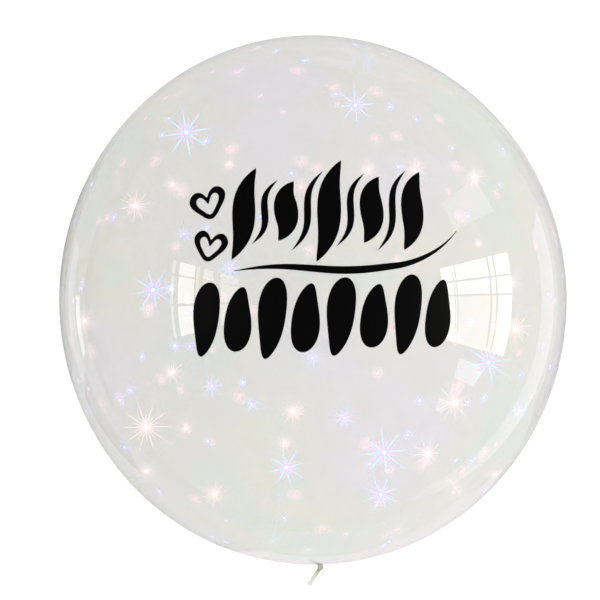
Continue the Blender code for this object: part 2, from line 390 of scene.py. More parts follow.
# Milky, yellowish colour of the layered film, painted darkest at the knot: partly the many layers, partly
# painted shade in the tight knot.
GATHERED_TINTS_AND_KNOT_SHADE = (
    (0.0, "#b2b2a4"),
    (0.24, "#b2b2a2"),
    (0.34, "#e4e4cb"),
    (0.55, "#efefe0"),
    (0.72, "#fafaf8"),
)
CREASE_WIDTH = 0.002
CREASE_HEIGHT = 0.0004
gathered_material, tree, shader = new_material("gathered_film")
apart = add(tree, "ShaderNodeSeparateXYZ", {}, {0: object_place(tree)})
from_knot = spread(tree, apart.outputs["Y"], start=-HALF_LENGTH, end=-HALF_LENGTH - GATHERED_REACH)
creases_and_painted_shade = noise(tree, CREASE_WIDTH, detail=3.0)
feed(
    tree,
    shader,
    {
        # Painted shade and light: the same noise that raises the creases makes the colour darker in their
        # hollows and lighter on their ridges.
        "Base Color": scaled(
            tree, ramp(tree, from_knot, GATHERED_TINTS_AND_KNOT_SHADE), spread(tree, creases_and_painted_shade, low=0.82, high=1.1)
        ),
        "Normal": bumps(tree, creases_and_painted_shade, strength=0.4, depth=CREASE_HEIGHT),
        "Transmission Weight": 0.2,
        "Roughness": 0.22,
        "IOR": 1.5,
    },
)
print("made", gathered_material.name)

# %% The knot
KNOT_RADIUS = 0.0034
KNOT_LENGTH = 0.0048
KNOT_OVERLAP = 0.0004
KNOT_CORE_RADIUS = NECK_RADIUS * 0.9
KNOT_FULLNESS = 0.55
KNOT_FLATTENING = 0.94
ROLLS_MEET_AT = 0.52
ROLLS_DIP = 0.16
ROLLS_DIP_WIDTH = 0.09
KNOT_ROWS = 28
KNOT_SEGMENTS = 48
knot_top = -HALF_LENGTH - NECK_LENGTH + KNOT_OVERLAP


def knot_point(share, around):
    """The knot: two rolls side by side, wound by slanting grooves."""
    belly = math.sin(math.pi * share) ** KNOT_FULLNESS
    rolls = 1 - ROLLS_DIP * math.exp(-(((share - ROLLS_MEET_AT) / ROLLS_DIP_WIDTH) ** 2))
    grooves = 1 + 0.07 * math.cos(3 * around + 9 * share) + 0.03 * math.cos(7 * around - 14 * share)
    radius = KNOT_CORE_RADIUS + (KNOT_RADIUS - KNOT_CORE_RADIUS) * belly * rolls * grooves
    across = math.sin(around) * radius
    along = knot_top - (KNOT_LENGTH + KNOT_OVERLAP) * share
    return CENTRE + Vector((across, along, math.cos(around) * radius * KNOT_FLATTENING))


points = [CENTRE + Vector((0, knot_top, 0))]
for row in range(KNOT_ROWS + 1):
    for step in range(KNOT_SEGMENTS):
        points.append(knot_point(row / KNOT_ROWS, math.tau * step / KNOT_SEGMENTS))
points.append(CENTRE + Vector((0, knot_top - KNOT_LENGTH - KNOT_OVERLAP, 0)))
faces = turned_faces(KNOT_ROWS + 1, KNOT_SEGMENTS)
knot = mesh_object("film_knot", points, faces, gathered_material)
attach(knot, "root")
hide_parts("film_bubble")
print("knot faces:", len(faces))

# %% The tail
TAIL_LENGTH = 0.0230
TAIL_ROOT_WIDTH = 0.0040
TAIL_END_WIDTH = 0.0056
TAIL_LEAN = math.radians(35)
TAIL_PLEATS = 5
TAIL_PLEAT_DEPTH = 0.0007
TAIL_RAGGEDNESS = 0.0007
TAIL_WALL = 0.00035
TAIL_ROWS = 24
TAIL_COLUMNS = 60

knot_middle = Vector((0, -HALF_LENGTH - NECK_LENGTH - KNOT_LENGTH / 2, 0)) + CENTRE
tail_way = Vector((-math.sin(TAIL_LEAN), -math.cos(TAIL_LEAN), 0))
tail_side = Vector((math.cos(TAIL_LEAN), -math.sin(TAIL_LEAN), 0))
points = []
for row in range(TAIL_ROWS + 1):
    share = row / TAIL_ROWS
    width = TAIL_ROOT_WIDTH + (TAIL_END_WIDTH - TAIL_ROOT_WIDTH) * share
    for column in range(TAIL_COLUMNS + 1):
        across = column / TAIL_COLUMNS - 0.5
        fold = math.cos(math.tau * TAIL_PLEATS * across + 0.8 * math.sin(4 * share))
        height = TAIL_PLEAT_DEPTH * fold * (0.7 + 0.3 * math.sin(9 * across + 3 * share))
        reach = TAIL_LENGTH * share + TAIL_RAGGEDNESS * math.sin(31 * across) * share
        points.append(knot_middle + tail_way * reach + tail_side * width * across)
        points[-1].z += height
faces = []
for row in range(TAIL_ROWS):
    for column in range(TAIL_COLUMNS):
        corner = row * (TAIL_COLUMNS + 1) + column
        faces.append((corner, corner + 1, corner + TAIL_COLUMNS + 2, corner + TAIL_COLUMNS + 1))
tail = mesh_object("film_tail", points, faces, gathered_material)
wall = tail.modifiers.new("Wall", "SOLIDIFY")
wall.thickness = TAIL_WALL
wall.offset = 0
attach(tail, "root")
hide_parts("film_bubble")
print("tail faces:", len(faces))

# %% [markdown]
# ## The print's finish
#
# The print is sign vinyl, calendered in a deep black and cut by a plotter blade. It has
# a soft satin skin, so it hardly mirrors the room and reads as flat black. A very fine
# unevenness of the skin keeps it from looking like a hole in the picture.

# %% Satin black vinyl
VINYL_GRAIN = 0.0012
VINYL_GRAIN_HEIGHT = 0.0001
vinyl_material, tree, shader = new_material("satin_black_vinyl")
grain = noise(tree, VINYL_GRAIN)
feed(
    tree,
    shader,
    {
        "Base Color": ramp(tree, grain, ((0.0, "#010101"), (1.0, "#040405"))),
        "Roughness": spread(tree, grain, low=0.38, high=0.50),
        "Normal": bumps(tree, grain, strength=0.08, depth=VINYL_GRAIN_HEIGHT),
        "Specular IOR Level": 0.03,
    },
)
print("made", vinyl_material.name)

# %% [markdown]
# ## Cut strokes
#
# Every stroke and heart is a band between two edges. A function walks along the band, sets
# out both edges flat, and carries a small section across it to the film: a flat top, rounded
# shoulders where the blade cut, and an underside on the film. That one function makes the
# brushed leaves, the hairlines, the swash, the dabs and the open hearts.

# %% A band of vinyl on the film
VINYL_UNDERSIDE = 0.00005
VINYL_TOP = 0.00040
SHOULDER = 0.00025
SHOULDER_MOST_SHARE = 0.3
# Shares of the shoulder's width and of the vinyl's thickness.
SHOULDER_RISE = ((0.0, 0.55), (0.3, 0.9))
STROKE_END_WIDTH = 0.0008
SPINE_STEP = 0.001


def vinyl_band(name, left_edge, right_edge, steps, closed, columns=6):
    """A vinyl band between two flat edges, each a function of a share from 0 to 1."""
    stations = []
    for i in range(steps + (0 if closed else 1)):
        share = i / steps if closed else (1 - math.cos(math.pi * i / steps)) / 2
        left, right = Vector(left_edge(share)), Vector(right_edge(share))
        width = (right - left).length
        inset = min(SHOULDER / width, SHOULDER_MOST_SHARE)
        rise = [(inset * share, lift) for share, lift in SHOULDER_RISE]
        level = [(inset + (1 - 2 * inset) * column / columns, 1.0) for column in range(columns + 1)]
        fall = [(1 - across, lift) for across, lift in reversed(rise)]
        underside = [(1.0, 0.0), (0.5, 0.0), (0.0, 0.0)]
        # The thin ends of a stroke are lower, or they would stand up like a wire.
        thickness = (VINYL_TOP - VINYL_UNDERSIDE) * min(1.0, width / (4 * SHOULDER))
        ring = []
        for across, lift in rise + level + fall + underside:
            flat = left.lerp(right, across)
            ring.append(on_film(flat.x, flat.y, VINYL_UNDERSIDE + thickness * lift))
        stations.append(ring)
    size = len(stations[0])
    points = [p for ring in stations for p in ring]
    faces = []
    for i in range(len(stations) - (0 if closed else 1)):
        here, there = i * size, (i + 1) % len(stations) * size
        for k in range(size):
            after = (k + 1) % size
            faces.append((here + k, here + after, there + after, there + k))
    if not closed:
        faces.append(tuple(range(size)))
        faces.append(tuple(range(len(points) - size, len(points))))
    obj = mesh_object(name, points, faces, vinyl_material)
    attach(obj, "root")
    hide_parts(name.replace("print_", "vinyl_"))
    return obj


def edge(spine, half_width, side):
    """One edge of a stroke: half_width(share) to that side of spine(share)."""

    def at(share):
        ahead = spine(share + SPINE_STEP) - spine(share - SPINE_STEP)
        sideways = Vector((ahead.y, -ahead.x)).normalized()
        return spine(share) + sideways * side * max(half_width(share), STROKE_END_WIDTH / 2)

    return at


print("vinyl stands", 1000 * VINYL_TOP, "mm off the film")

# %% [markdown]
# ## The upper row and its swash
#
# Broad leaf strokes with hairlines between them have the thick and thin rhythm of a round
# brush. Each swells from a point and bows a little like an S. A swash runs under the row and
# flicks up past its end.

# %% Leaves and hairlines
SWASH_ALONG = 0.0345
UPPER_ROW_TO_SWASH = 0.005
UPPER_ROW_ACROSS = 0.020
UPPER_ROW_WIDTH = 0.214
UPPER_STROKE_HEIGHT = 0.120
UPPER_ROW_START = UPPER_ROW_ACROSS - UPPER_ROW_WIDTH / 2
UPPER_ROW_ALONG = SWASH_ALONG + UPPER_ROW_TO_SWASH + UPPER_STROKE_HEIGHT / 2
LEAF_FULLNESS = 0.8
UPPER_STROKE_SHARES = (0.90, 0.64, 0.58, 0.80, 1.00, 0.74, 0.66, 0.84, 0.80)
# Each kind's name, width, slant and bow.
UPPER_KINDS = (
    ("leaf", 0.0265, math.radians(15), 0.0045),
    ("hairline", 0.0080, math.radians(22), 0.0060),
)
STROKE_STEPS = 64


def slanted_spine(middle, height, slant, bow):
    """A stroke's middle line: leaning, and bowed like an S."""
    lean = Vector((math.sin(slant), math.cos(slant)))
    sideways = Vector((lean.y, -lean.x))
    return lambda share: (
        Vector(middle) + lean * (share - 0.5) * height + sideways * bow * math.sin(math.tau * share)
    )


def leaf_width(width):
    """Half of a stroke's width, which swells from a point and back."""
    return lambda share: width / 2 * max(0.0, math.sin(math.pi * share)) ** LEAF_FULLNESS


def row_places(middle, width, count):
    """The middles of evenly spaced strokes in a row."""
    return [middle + width / count * (i - (count - 1) / 2) for i in range(count)]


def stroke(name, spine, half_width, steps):
    return vinyl_band(name, edge(spine, half_width, -1), edge(spine, half_width, 1), steps, closed=False)


places = row_places(UPPER_ROW_ACROSS, UPPER_ROW_WIDTH, len(UPPER_STROKE_SHARES))
for number, (across, share) in enumerate(zip(places, UPPER_STROKE_SHARES)):
    kind, width, slant, bow = UPPER_KINDS[number % 2]
    spine = slanted_spine((across, UPPER_ROW_ALONG), UPPER_STROKE_HEIGHT * share, slant, bow)
    stroke(f"print_{kind}_{number // 2 + 1}", spine, leaf_width(width), STROKE_STEPS)
print("upper row:", len(places), "strokes")

# %% The swash
SWASH_LENGTH = UPPER_ROW_WIDTH + 0.042
SWASH_WAVE = 0.0030
SWASH_WAVE_COUNT = 1.5
SWASH_FLICK_RISE = 0.041
SWASH_FLICK_START = 0.70
SWASH_WIDTH = 0.0085


def swash_spine(share):
    across = UPPER_ROW_START + SWASH_LENGTH * share
    wave = SWASH_WAVE * math.sin(math.tau * SWASH_WAVE_COUNT * share)
    flick = max(0.0, (share - SWASH_FLICK_START) / (1 - SWASH_FLICK_START)) ** 2
    return Vector((across, SWASH_ALONG + wave * (1 - flick) + SWASH_FLICK_RISE * flick))


stroke("print_swash", swash_spine, leaf_width(SWASH_WIDTH), 2 * STROKE_STEPS)
print("swash", round(1000 * SWASH_LENGTH), "mm long")

# %% [markdown]
# ## The lower row
#
# Heavy dabs stand on their full and their narrow end by turns, and close together, so the row
# is a bold dark band from a step away.

# %% Dabs
LOWER_ROW_ACROSS = 0.010
LOWER_ROW_WIDTH = 0.300
LOWER_ROW_TO_SWASH = 0.0085
LOWER_STROKE_HEIGHT = 0.090
LOWER_ROW_ALONG = SWASH_ALONG - LOWER_ROW_TO_SWASH - LOWER_STROKE_HEIGHT / 2
DAB_WIDTH = 0.0345
DAB_SLANT = math.radians(12)
DAB_BOW = 0.0016
DAB_TAPER = 0.50
DAB_PLAIN_WIDTH_AT = 0.25
LOWER_STROKE_SHARES = (0.94, 0.80, 1.00, 0.84, 0.96, 0.78, 1.00, 0.86)


def dab_width(heavy_end):
    """Half of a dab's width: round at both ends, and fuller at the heavy one (0 or 1)."""

    def half(share):
        round_ends = math.sqrt(max(0.0, 1 - (2 * share - 1) ** 2))
        fuller = DAB_TAPER * (DAB_PLAIN_WIDTH_AT - abs(share - heavy_end))
        return DAB_WIDTH / 2 * round_ends * (1 + fuller)

    return half


places = row_places(LOWER_ROW_ACROSS, LOWER_ROW_WIDTH, len(LOWER_STROKE_SHARES))
for number, (across, share) in enumerate(zip(places, LOWER_STROKE_SHARES), start=1):
    spine = slanted_spine((across, LOWER_ROW_ALONG), LOWER_STROKE_HEIGHT * share, DAB_SLANT, DAB_BOW)
    stroke(f"print_dab_{number}", spine, dab_width(number % 2), STROKE_STEPS)
print("lower row:", len(places), "dabs")

# %% [markdown]
# ## The hearts
#
# Two small hearts are cut as open outlines: a band between a heart and a smaller one inside
# it. A formula in sines could give a heart, but one with a needle point and a band that
# thins there, and on the real ones the tip is rounded and the band nearly even. So each edge
# is set out by a few points of its right half, which are mirrored and joined by a smooth
# curve. The points are in shares of a heart that is 32 wide.

# %% Open hearts
HEART_UNITS = 32
HEART_STEPS = 160
HEART_OUTSIDE = (
    (0, 7.0),
    (2.6, 10.6),
    (5.8, 13.1),
    (9.8, 13.7),
    (13.8, 11.3),
    (16.0, 6.4),
    (14.2, 0.4),
    (9.2, -5.8),
    (4.4, -10.8),
    (0, -12.6),
)
HEART_OPENING = (
    (0, 0.9),
    (1.9, 3.9),
    (4.0, 7.0),
    (6.4, 8.4),
    (8.9, 7.4),
    (10.0, 4.5),
    (8.4, 0.1),
    (5.2, -4.0),
    (2.2, -7.4),
    (0, -8.4),
)
HEARTS_TO_ROW = 0.0075
HEARTS_END = UPPER_ROW_START - HEARTS_TO_ROW
UPPER_HEART_WIDTH = 0.0445
LOWER_HEART_WIDTH = 0.0410
HEARTS = (
    ("upper", UPPER_HEART_WIDTH, (HEARTS_END - UPPER_HEART_WIDTH / 2, 0.112), math.radians(14)),
    ("lower", LOWER_HEART_WIDTH, (HEARTS_END - LOWER_HEART_WIDTH / 2, 0.06225), math.radians(-13)),
)


def heart_edge(right_half, place, width, turn):
    """A smooth closed curve through the right half's points and their mirror images."""
    ring = [Vector(p) for p in right_half] + [Vector((-x, y)) for x, y in right_half[-2:0:-1]]

    def at(share):
        number, part = divmod(share * len(ring), 1)
        before, here, after, beyond = (ring[(int(number) + k) % len(ring)] for k in (-1, 0, 1, 2))
        flat = here * 2 + (after - before) * part
        flat += (before * 2 - here * 5 + after * 4 - beyond) * part**2
        flat += (here * 3 - before - after * 3 + beyond) * part**3
        flat.rotate(Matrix.Rotation(turn, 2))
        return flat / 2 * (width / HEART_UNITS) + Vector(place)

    return at


for which, width, place, turn in HEARTS:
    vinyl_band(
        f"print_heart_{which}",
        heart_edge(HEART_OUTSIDE, place, width, turn),
        heart_edge(HEART_OPENING, place, width, turn),
        HEART_STEPS,
        closed=True,
        columns=3,
    )
print("hearts:", len(HEARTS))

# %% [markdown]
# ## Sparkling bursts
#
# Bursts of fine tinsel cling to the inside of the film by static. Each has a bright bead in
# its middle and rays that thin out to nothing, long and short by turns. Most of the rays fan
# out in one plane that faces the print's side, and a few stand up from it, so a burst
# sparkles from the side as well. Some flash warm and pinkish, others blue, with pink between
# the blue rays. There are dozens of them, so one of each is modelled and Geometry Nodes set
# out the copies.
#
# A burst carries two numbers on its points, which its copies keep: how solid it looks there,
# and which colour it takes, on a scale from the bead to the veil round it.

# %% Small meshes with solidity and hue
SHORT_RAY = 0.62
RAY_THICKNESS = 0.006
RAY_EDGE = 0.3
# Shares of a ray's length and width, and how solid it is there.
RAY_STATIONS = ((0.04, 0.5, 1.0), (0.20, 1.0, 0.85), (0.60, 0.75, 0.70), (1.0, 0.25, 0.10))
LENS_EDGE = 0.0001
BEAD_HUE = 0.0
LONG_RAY_HUE = 0.3
SHORT_RAY_HUE = 0.6
VEIL_HUE = 1.0


class Tinsel:
    """Collects rays, beads and veils into one mesh of closed shells, each point with two numbers."""

    def __init__(self):
        self.points, self.faces, self.solids, self.hues = [], [], [], []

    def point(self, place, solid, hue):
        self.points.append(tuple(place))
        self.solids.append(solid)
        self.hues.append(hue)
        return len(self.points) - 1

    def shell(self, loops):
        """Joins loops of points into a closed shell with a fan at either end."""
        for here, there in zip(loops, loops[1:]):
            for k in range(len(here)):
                after = (k + 1) % len(here)
                self.faces.append((here[k], there[k], there[after], here[after]))
        self.faces.append(tuple(loops[0]))
        self.faces.append(tuple(reversed(loops[-1])))

    def ray(self, way, sideways, length, half_width, hue):
        """A ray that is most solid along its middle and fades to its tip."""
        through = way.cross(sideways) * RAY_THICKNESS
        loops = []
        for share, broad, solid in RAY_STATIONS:
            middle = way * length * share
            side = sideways * half_width * broad
            loops.append(
                [
                    self.point(middle - side, solid * RAY_EDGE, hue),
                    self.point(middle + through * broad, solid, hue),
                    self.point(middle + side, solid * RAY_EDGE, hue),
                    self.point(middle - through * broad, solid, hue),
                ]
            )
        self.shell(loops)

    def lens(self, rings, thickness, segments=24):
        """A round veil or bead: rings of (radius, solidity, hue) from its middle to its rim."""
        rim = rings[-1][0]
        turns = [math.tau * k / segments for k in range(segments)]
        loops = []
        for face_side, ordered in ((1, rings), (-1, rings[::-1])):
            for radius, solid, hue in ordered:
                bulge = math.sqrt(max(0.0, 1 - (radius / rim) ** 2) + LENS_EDGE)
                height = face_side * thickness * bulge
                loops.append(
                    [
                        self.point((radius * math.cos(t), radius * math.sin(t), height), solid, hue)
                        for t in turns
                    ]
                )
        self.shell(loops)

    def finish(self, name):
        """The mesh as an object that isn't shown itself, for Geometry Nodes to copy."""
        numbers = {"solidity": self.solids, "hue": self.hues}
        obj = mesh_object(name, self.points, self.faces, smooth=False, numbers=numbers)
        obj.hide_render = True
        print(name, len(obj.data.polygons), "faces")
        return obj


# %% One warm and one cool burst
STANDING_RAYS = [(0, 0, 1, 1.0), (0, 0, -1, 1.0)]
for x, y in ((1, 0), (-1, 0), (0, 1), (0, -1)):
    for z in (1, -1):
        STANDING_RAYS.append((x, y, z, SHORT_RAY))


def flat_ray(tinsel, angle, length, half_width, hue):
    """A ray in the XY plane, at an angle."""
    way = Vector((math.cos(angle), math.sin(angle), 0))
    tinsel.ray(way, Vector((-way.y, way.x, 0)), length, half_width, hue)


def burst(name, rays, half_width, bead, veil):
    """A burst of radius 1: rays in the XY plane, a few across it, a bead and a veil."""
    tinsel = Tinsel()
    bead_rings = ((0.3, 1.0, BEAD_HUE), (0.8, 1.0, BEAD_HUE), (1.0, 0.9, 0.05))
    veil_rings = ((0.5, veil), (1.5, veil * 0.8), (2.6, 0.0))
    tinsel.lens([(bead * share, solid, hue) for share, solid, hue in bead_rings], bead)
    tinsel.lens([(bead * share, solid, VEIL_HUE) for share, solid in veil_rings], RAY_THICKNESS)
    for number in range(rays):
        length, hue = (SHORT_RAY, SHORT_RAY_HUE) if number % 2 else (1.0, LONG_RAY_HUE)
        flat_ray(tinsel, math.tau * number / rays, length, half_width, hue)
    for x, y, z, length in STANDING_RAYS:
        way = Vector((x, y, z)).normalized()
        sideways = way.cross(Vector((0.6, 0.8, 0))).normalized()
        tinsel.ray(way, sideways, length, half_width, LONG_RAY_HUE)
    return tinsel.finish(name)


warm_burst = burst("burst_warm", rays=20, half_width=0.025, bead=0.080, veil=0.25)
cool_burst = burst("burst_cool", rays=16, half_width=0.044, bead=0.080, veil=0.7)

# %% [markdown]
# ### The bursts' finish
#
# Pearl foil throws back a lamp as a flash that is brighter than its surroundings, whichever
# way it lies. A little emission paints that flash in, as no single lamp here could make
# every burst flash at once. The rays and the veil round the bead are thin tinted gelatine, so
# they grow see-through outwards by the solidity that the points carry. The pink spangles are
# gelatine alone, with a faint painted glow.


# %% Pearl foil, warm and cool
def point_number(tree, name):
    """A number that a mesh carries on its points."""
    return add(tree, "ShaderNodeAttribute", {"attribute_name": name}).outputs["Fac"]


def pearl_foil(name, colours, flash, strength=1.0):
    """colours run from the bead over the long and the short rays to the veil."""
    material, tree, shader = new_material(name)
    stops = tuple(zip((BEAD_HUE, LONG_RAY_HUE, SHORT_RAY_HUE, VEIL_HUE), colours))
    colour = ramp(tree, point_number(tree, "hue"), stops)
    solid = add(
        tree, "ShaderNodeMath", {"operation": "MULTIPLY"}, {0: point_number(tree, "solidity"), 1: strength}
    )
    feed(
        tree,
        shader,
        {
            "Base Color": colour,
            "Emission Color": colour,
            "Emission Strength": flash,
            "Alpha": solid.outputs["Value"],
            "Roughness": 0.4,
        },
    )
    return material


warm_foil = pearl_foil("warm_pearl_foil", ("#ffffff", "#f4e3e2", "#f4e2e1", "#f4dfe1"), 0.36)
cool_foil = pearl_foil("cool_pearl_foil", ("#ffffff", "#c6e0f8", "#edc4eb", "#cfc4fb"), 0.4)
PINK_GELATINE = ("#f9e8ee", "#f8dfe7", "#f8dde6", "#f8dde6")
# The pink spangles' faint glow is painted light: gelatine gives off none.
gelatine = pearl_foil("warm_gelatine_spangle", PINK_GELATINE, 0.27, strength=0.7)
print("made", warm_foil.name, cool_foil.name, gelatine.name)

# %% [markdown]
# ### Where the big bursts lie
#
# The big bursts are spread unevenly: most lie low on the left and along the right side. Each
# row below is one burst: how far it lies right of and above the middle as the camera sees
# it and how wide it is from tip to tip, in millimetres, and how far it is turned, in degrees.
# They cling to the front and to the back film by turns, and each stands so far inside that
# its tips all but touch the film. As the camera sees it, the balloon lies a little turned, and
# what is nearer looks larger, so both are taken off a burst's place.

# %% The big bursts
CAMERA_DISTANCE = 7.0
LIES_TURNED = math.radians(1.6)
FILM_CLEARANCE = 0.0012
WARM_BURSTS = (
    (-196, 104, 52, 10),
    (-184, -140, 66, 0),
    (-184, -189, 36, 28),
    (-109, -214, 46, 12),
    (-155, -80, 42, 5),
    (-252, -23, 46, 20),
    (178, 136, 44, 0),
    (112, 143, 44, 15),
    (61, 144, 40, 8),
    (155, -113, 52, 22),
    (127, -170, 46, 3),
    (-23, -123, 40, 17),
    (224, -31, 52, 9),
    (218, 19, 40, 25),
    (200, -192, 20, 11),
    (-87, -40, 38, 6),
    (-92, 150, 30, 14),
    (-155, 127, 34, 2),
    (-140, -142, 34, 12),
    (-14, 124, 44, 5),
    (10, 111, 34, 20),
    (-32, -158, 30, 9),
    (183, 62, 22, 9),
)
COOL_BURSTS = (
    (-140, 185, 62, 8),
    (47, 215, 52, 3),
    (-177, 11, 54, 10),
    (-29, -185, 50, 12),
    (78, -168, 58, 5),
    (75, -215, 46, 20),
    (193, -69, 56, 9),
    (-111, -95, 34, 0),
    (-68, -115, 26, 13),
    (0, -64, 30, 7),
    (34, -130, 30, 18),
    (-92, 35, 36, 4),
    (-129, -13, 28, 21),
    (227, -122, 30, 7),
    (-143, 73, 28, 0),
    (-202, -100, 22, 11),
    (-136, -51, 22, 4),
    (-117, 79, 20, 3),
)


def burst_points(name, bursts, start_side):
    """A mesh of loose points, one for each burst, with its span and turn."""
    places, spans, turns = [], [], []
    for number, (right, above, span, turn) in enumerate(bursts):
        seen, reach = Vector((right, above)) / 1000, span / 2000
        seen.rotate(Matrix.Rotation(-LIES_TURNED, 2))
        x, y = seen
        side = start_side if number % 2 else -start_side
        room = [axis - reach - FILM_CLEARANCE for axis in AXES]
        height = side * room[2] * math.sqrt(max(0.0, 1 - (x / room[0]) ** 2 - (y / room[1]) ** 2))
        nearer = 1 - height / CAMERA_DISTANCE
        places.append(CENTRE + Vector((x * nearer, y * nearer, height)))
        spans.append(reach)
        turns.append(math.radians(turn))
    return mesh_object(name, places, [], numbers={"span": spans, "turn": turns})


print("big bursts:", len(WARM_BURSTS), "warm and", len(COOL_BURSTS), "cool")

# %% [markdown]
# ### Setting out the copies by Geometry Nodes
#
# Two trees share one ending, which stands copies on points, makes them real and gives them
# their foil. The first tree starts from the listed points. The other scatters points over
# a guide ball, no two closer than a set distance, for the many small spangles. Those lie flat
# against the film, so each is turned square to it. The guide ball is a little smaller than
# the film, since a flat disc inside a round wall touches it with its rim first.


# %% Helpers for the trees
def group_tree(name, sockets):
    """A Geometry Nodes tree with a geometry input, these inputs and a geometry output."""
    tree = bpy.data.node_groups.new(name, "GeometryNodeTree")
    tree.interface.new_socket("Geometry", in_out="INPUT", socket_type="NodeSocketGeometry")
    for title, kind in sockets:
        tree.interface.new_socket(title, in_out="INPUT", socket_type=f"NodeSocket{kind}")
    tree.interface.new_socket("Geometry", in_out="OUTPUT", socket_type="NodeSocketGeometry")
    return tree, add(tree, "NodeGroupInput")


def end_with_copies(tree, given, points, scale, rotation):
    """Ends the tree with real copies of the given piece on points, in the given foil."""
    piece = add(tree, "GeometryNodeObjectInfo", {}, {"Object": given.outputs["Piece"]})
    copies = add(
        tree,
        "GeometryNodeInstanceOnPoints",
        {},
        {"Points": points, "Instance": piece.outputs["Geometry"], "Rotation": rotation, "Scale": scale},
    )
    real = add(tree, "GeometryNodeRealizeInstances", {}, {"Geometry": copies.outputs[0]})
    inputs = {"Geometry": real.outputs[0], "Material": given.outputs["Foil"]}
    foiled = add(tree, "GeometryNodeSetMaterial", {}, inputs)
    add(tree, "NodeGroupOutput", {}, {"Geometry": foiled.outputs[0]})


def bake(obj, tree, values):
    """Runs the tree on obj with these values, and makes a plain mesh that rides on the balloon."""
    modifier = obj.modifiers.new("Lay", "NODES")
    modifier.node_group = tree
    inputs = [item.identifier for item in tree.interface.items_tree if item.in_out == "INPUT"]
    for identifier, value in zip(inputs[1:], values, strict=True):
        modifier[identifier] = value
    evaluated = obj.evaluated_get(bpy.context.evaluated_depsgraph_get())
    mesh = bpy.data.meshes.new_from_object(evaluated)
    mesh.name = obj.name
    obj.modifiers.remove(modifier)
    name = obj.name
    bpy.data.objects.remove(obj)
    laid = bpy.data.objects.new(name, mesh)
    bpy.context.scene.collection.objects.link(laid)
    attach(laid, "root")
    return laid


print("clearance from the film:", 1000 * FILM_CLEARANCE, "mm")

# %% Set out the big bursts
tree, given = group_tree("Bursts on points", (("Piece", "Object"), ("Foil", "Material")))
span = add(tree, "GeometryNodeInputNamedAttribute", {"data_type": "FLOAT"}, {"Name": "span"})
turn = add(tree, "GeometryNodeInputNamedAttribute", {"data_type": "FLOAT"}, {"Name": "turn"})
turned = add(tree, "ShaderNodeCombineXYZ", {}, {"Z": turn.outputs[0]})
end_with_copies(tree, given, given.outputs["Geometry"], span.outputs[0], turned.outputs[0])
for name, bursts, piece, foil, side in (
    ("bursts_warm", WARM_BURSTS, warm_burst, warm_foil, 1),
    ("bursts_cool", COOL_BURSTS, cool_burst, cool_foil, -1),
):
    laid = bake(burst_points(name, bursts, side), tree, (piece, foil))
    print(name, len(laid.data.polygons), "faces")

# %% One cool and one warm spangle
SPANGLE_RAYS = 8
SPANGLE_RAY_HALF_WIDTH = 0.10
SPANGLE_BEAD_THICKNESS = 0.02
SPANGLE_THICKNESS = 0.012
# Rings of (radius, solidity, hue), from the middle to the rim.
COOL_BEAD = ((0.05, 1.0, BEAD_HUE), (0.17, 1.0, BEAD_HUE), (0.22, 0.9, 0.1))
COOL_VEIL = ((0.10, 0.9, VEIL_HUE), (0.30, 0.85, VEIL_HUE), (0.42, 0.6, VEIL_HUE), (0.58, 0.0, VEIL_HUE))
WARM_DISC = ((0.05, 0.50, 0.3), (0.30, 0.40, 0.6), (0.6, 0.20, 0.8), (0.8, 0.07, 0.9), (1.0, 0.0, 1.0))

tinsel = Tinsel()
tinsel.lens(COOL_BEAD, SPANGLE_BEAD_THICKNESS)
tinsel.lens(COOL_VEIL, SPANGLE_THICKNESS)
for number in range(SPANGLE_RAYS):
    flat_ray(tinsel, math.tau * number / SPANGLE_RAYS, 1.0, SPANGLE_RAY_HALF_WIDTH, LONG_RAY_HUE)
cool_spangle = tinsel.finish("spangle_cool")
tinsel = Tinsel()
tinsel.lens(WARM_DISC, SPANGLE_THICKNESS)
warm_spangle = tinsel.finish("spangle_warm")

# %% A tree that scatters spangles
tree, given = group_tree(
    "Spangles at random",
    (
        ("Piece", "Object"),
        ("Foil", "Material"),
        ("Apart", "Float"),
        ("Density", "Float"),
        ("Smallest", "Float"),
        ("Largest", "Float"),
        ("Seed", "Int"),
    ),
)
spots = add(
    tree,
    "GeometryNodeDistributePointsOnFaces",
    {"distribute_method": "POISSON"},
    {
        "Mesh": given.outputs["Geometry"],
        "Distance Min": given.outputs["Apart"],
        "Density Max": given.outputs["Density"],
        "Seed": given.outputs["Seed"],
    },
)
size = add(
    tree,
    "FunctionNodeRandomValue",
    {"data_type": "FLOAT"},
    {2: given.outputs["Smallest"], 3: given.outputs["Largest"], "Seed": given.outputs["Seed"]},
)
position = add(tree, "GeometryNodeInputPosition")
from_centre = add(
    tree, "ShaderNodeVectorMath", {"operation": "SUBTRACT"}, {0: position.outputs[0], 1: tuple(CENTRE)}
)
normal = add(
    tree,
    "ShaderNodeVectorMath",
    {"operation": "DIVIDE"},
    {0: from_centre.outputs[0], 1: tuple(a * a for a in AXES)},
)
square_on = add(tree, "FunctionNodeAlignRotationToVector", {"axis": "Z"}, {"Vector": normal.outputs[0]})
end_with_copies(tree, given, spots.outputs["Points"], size.outputs[1], square_on.outputs[0])
print("inputs:", ", ".join(item.name for item in tree.interface.items_tree if item.in_out == "INPUT"))

# %% The guide ball
GUIDE_ROWS = 32
GUIDE_SEGMENTS = 48
GUIDE_FROM_CROWN = math.radians(0.5)
GUIDE_TO_NECK = math.radians(164)


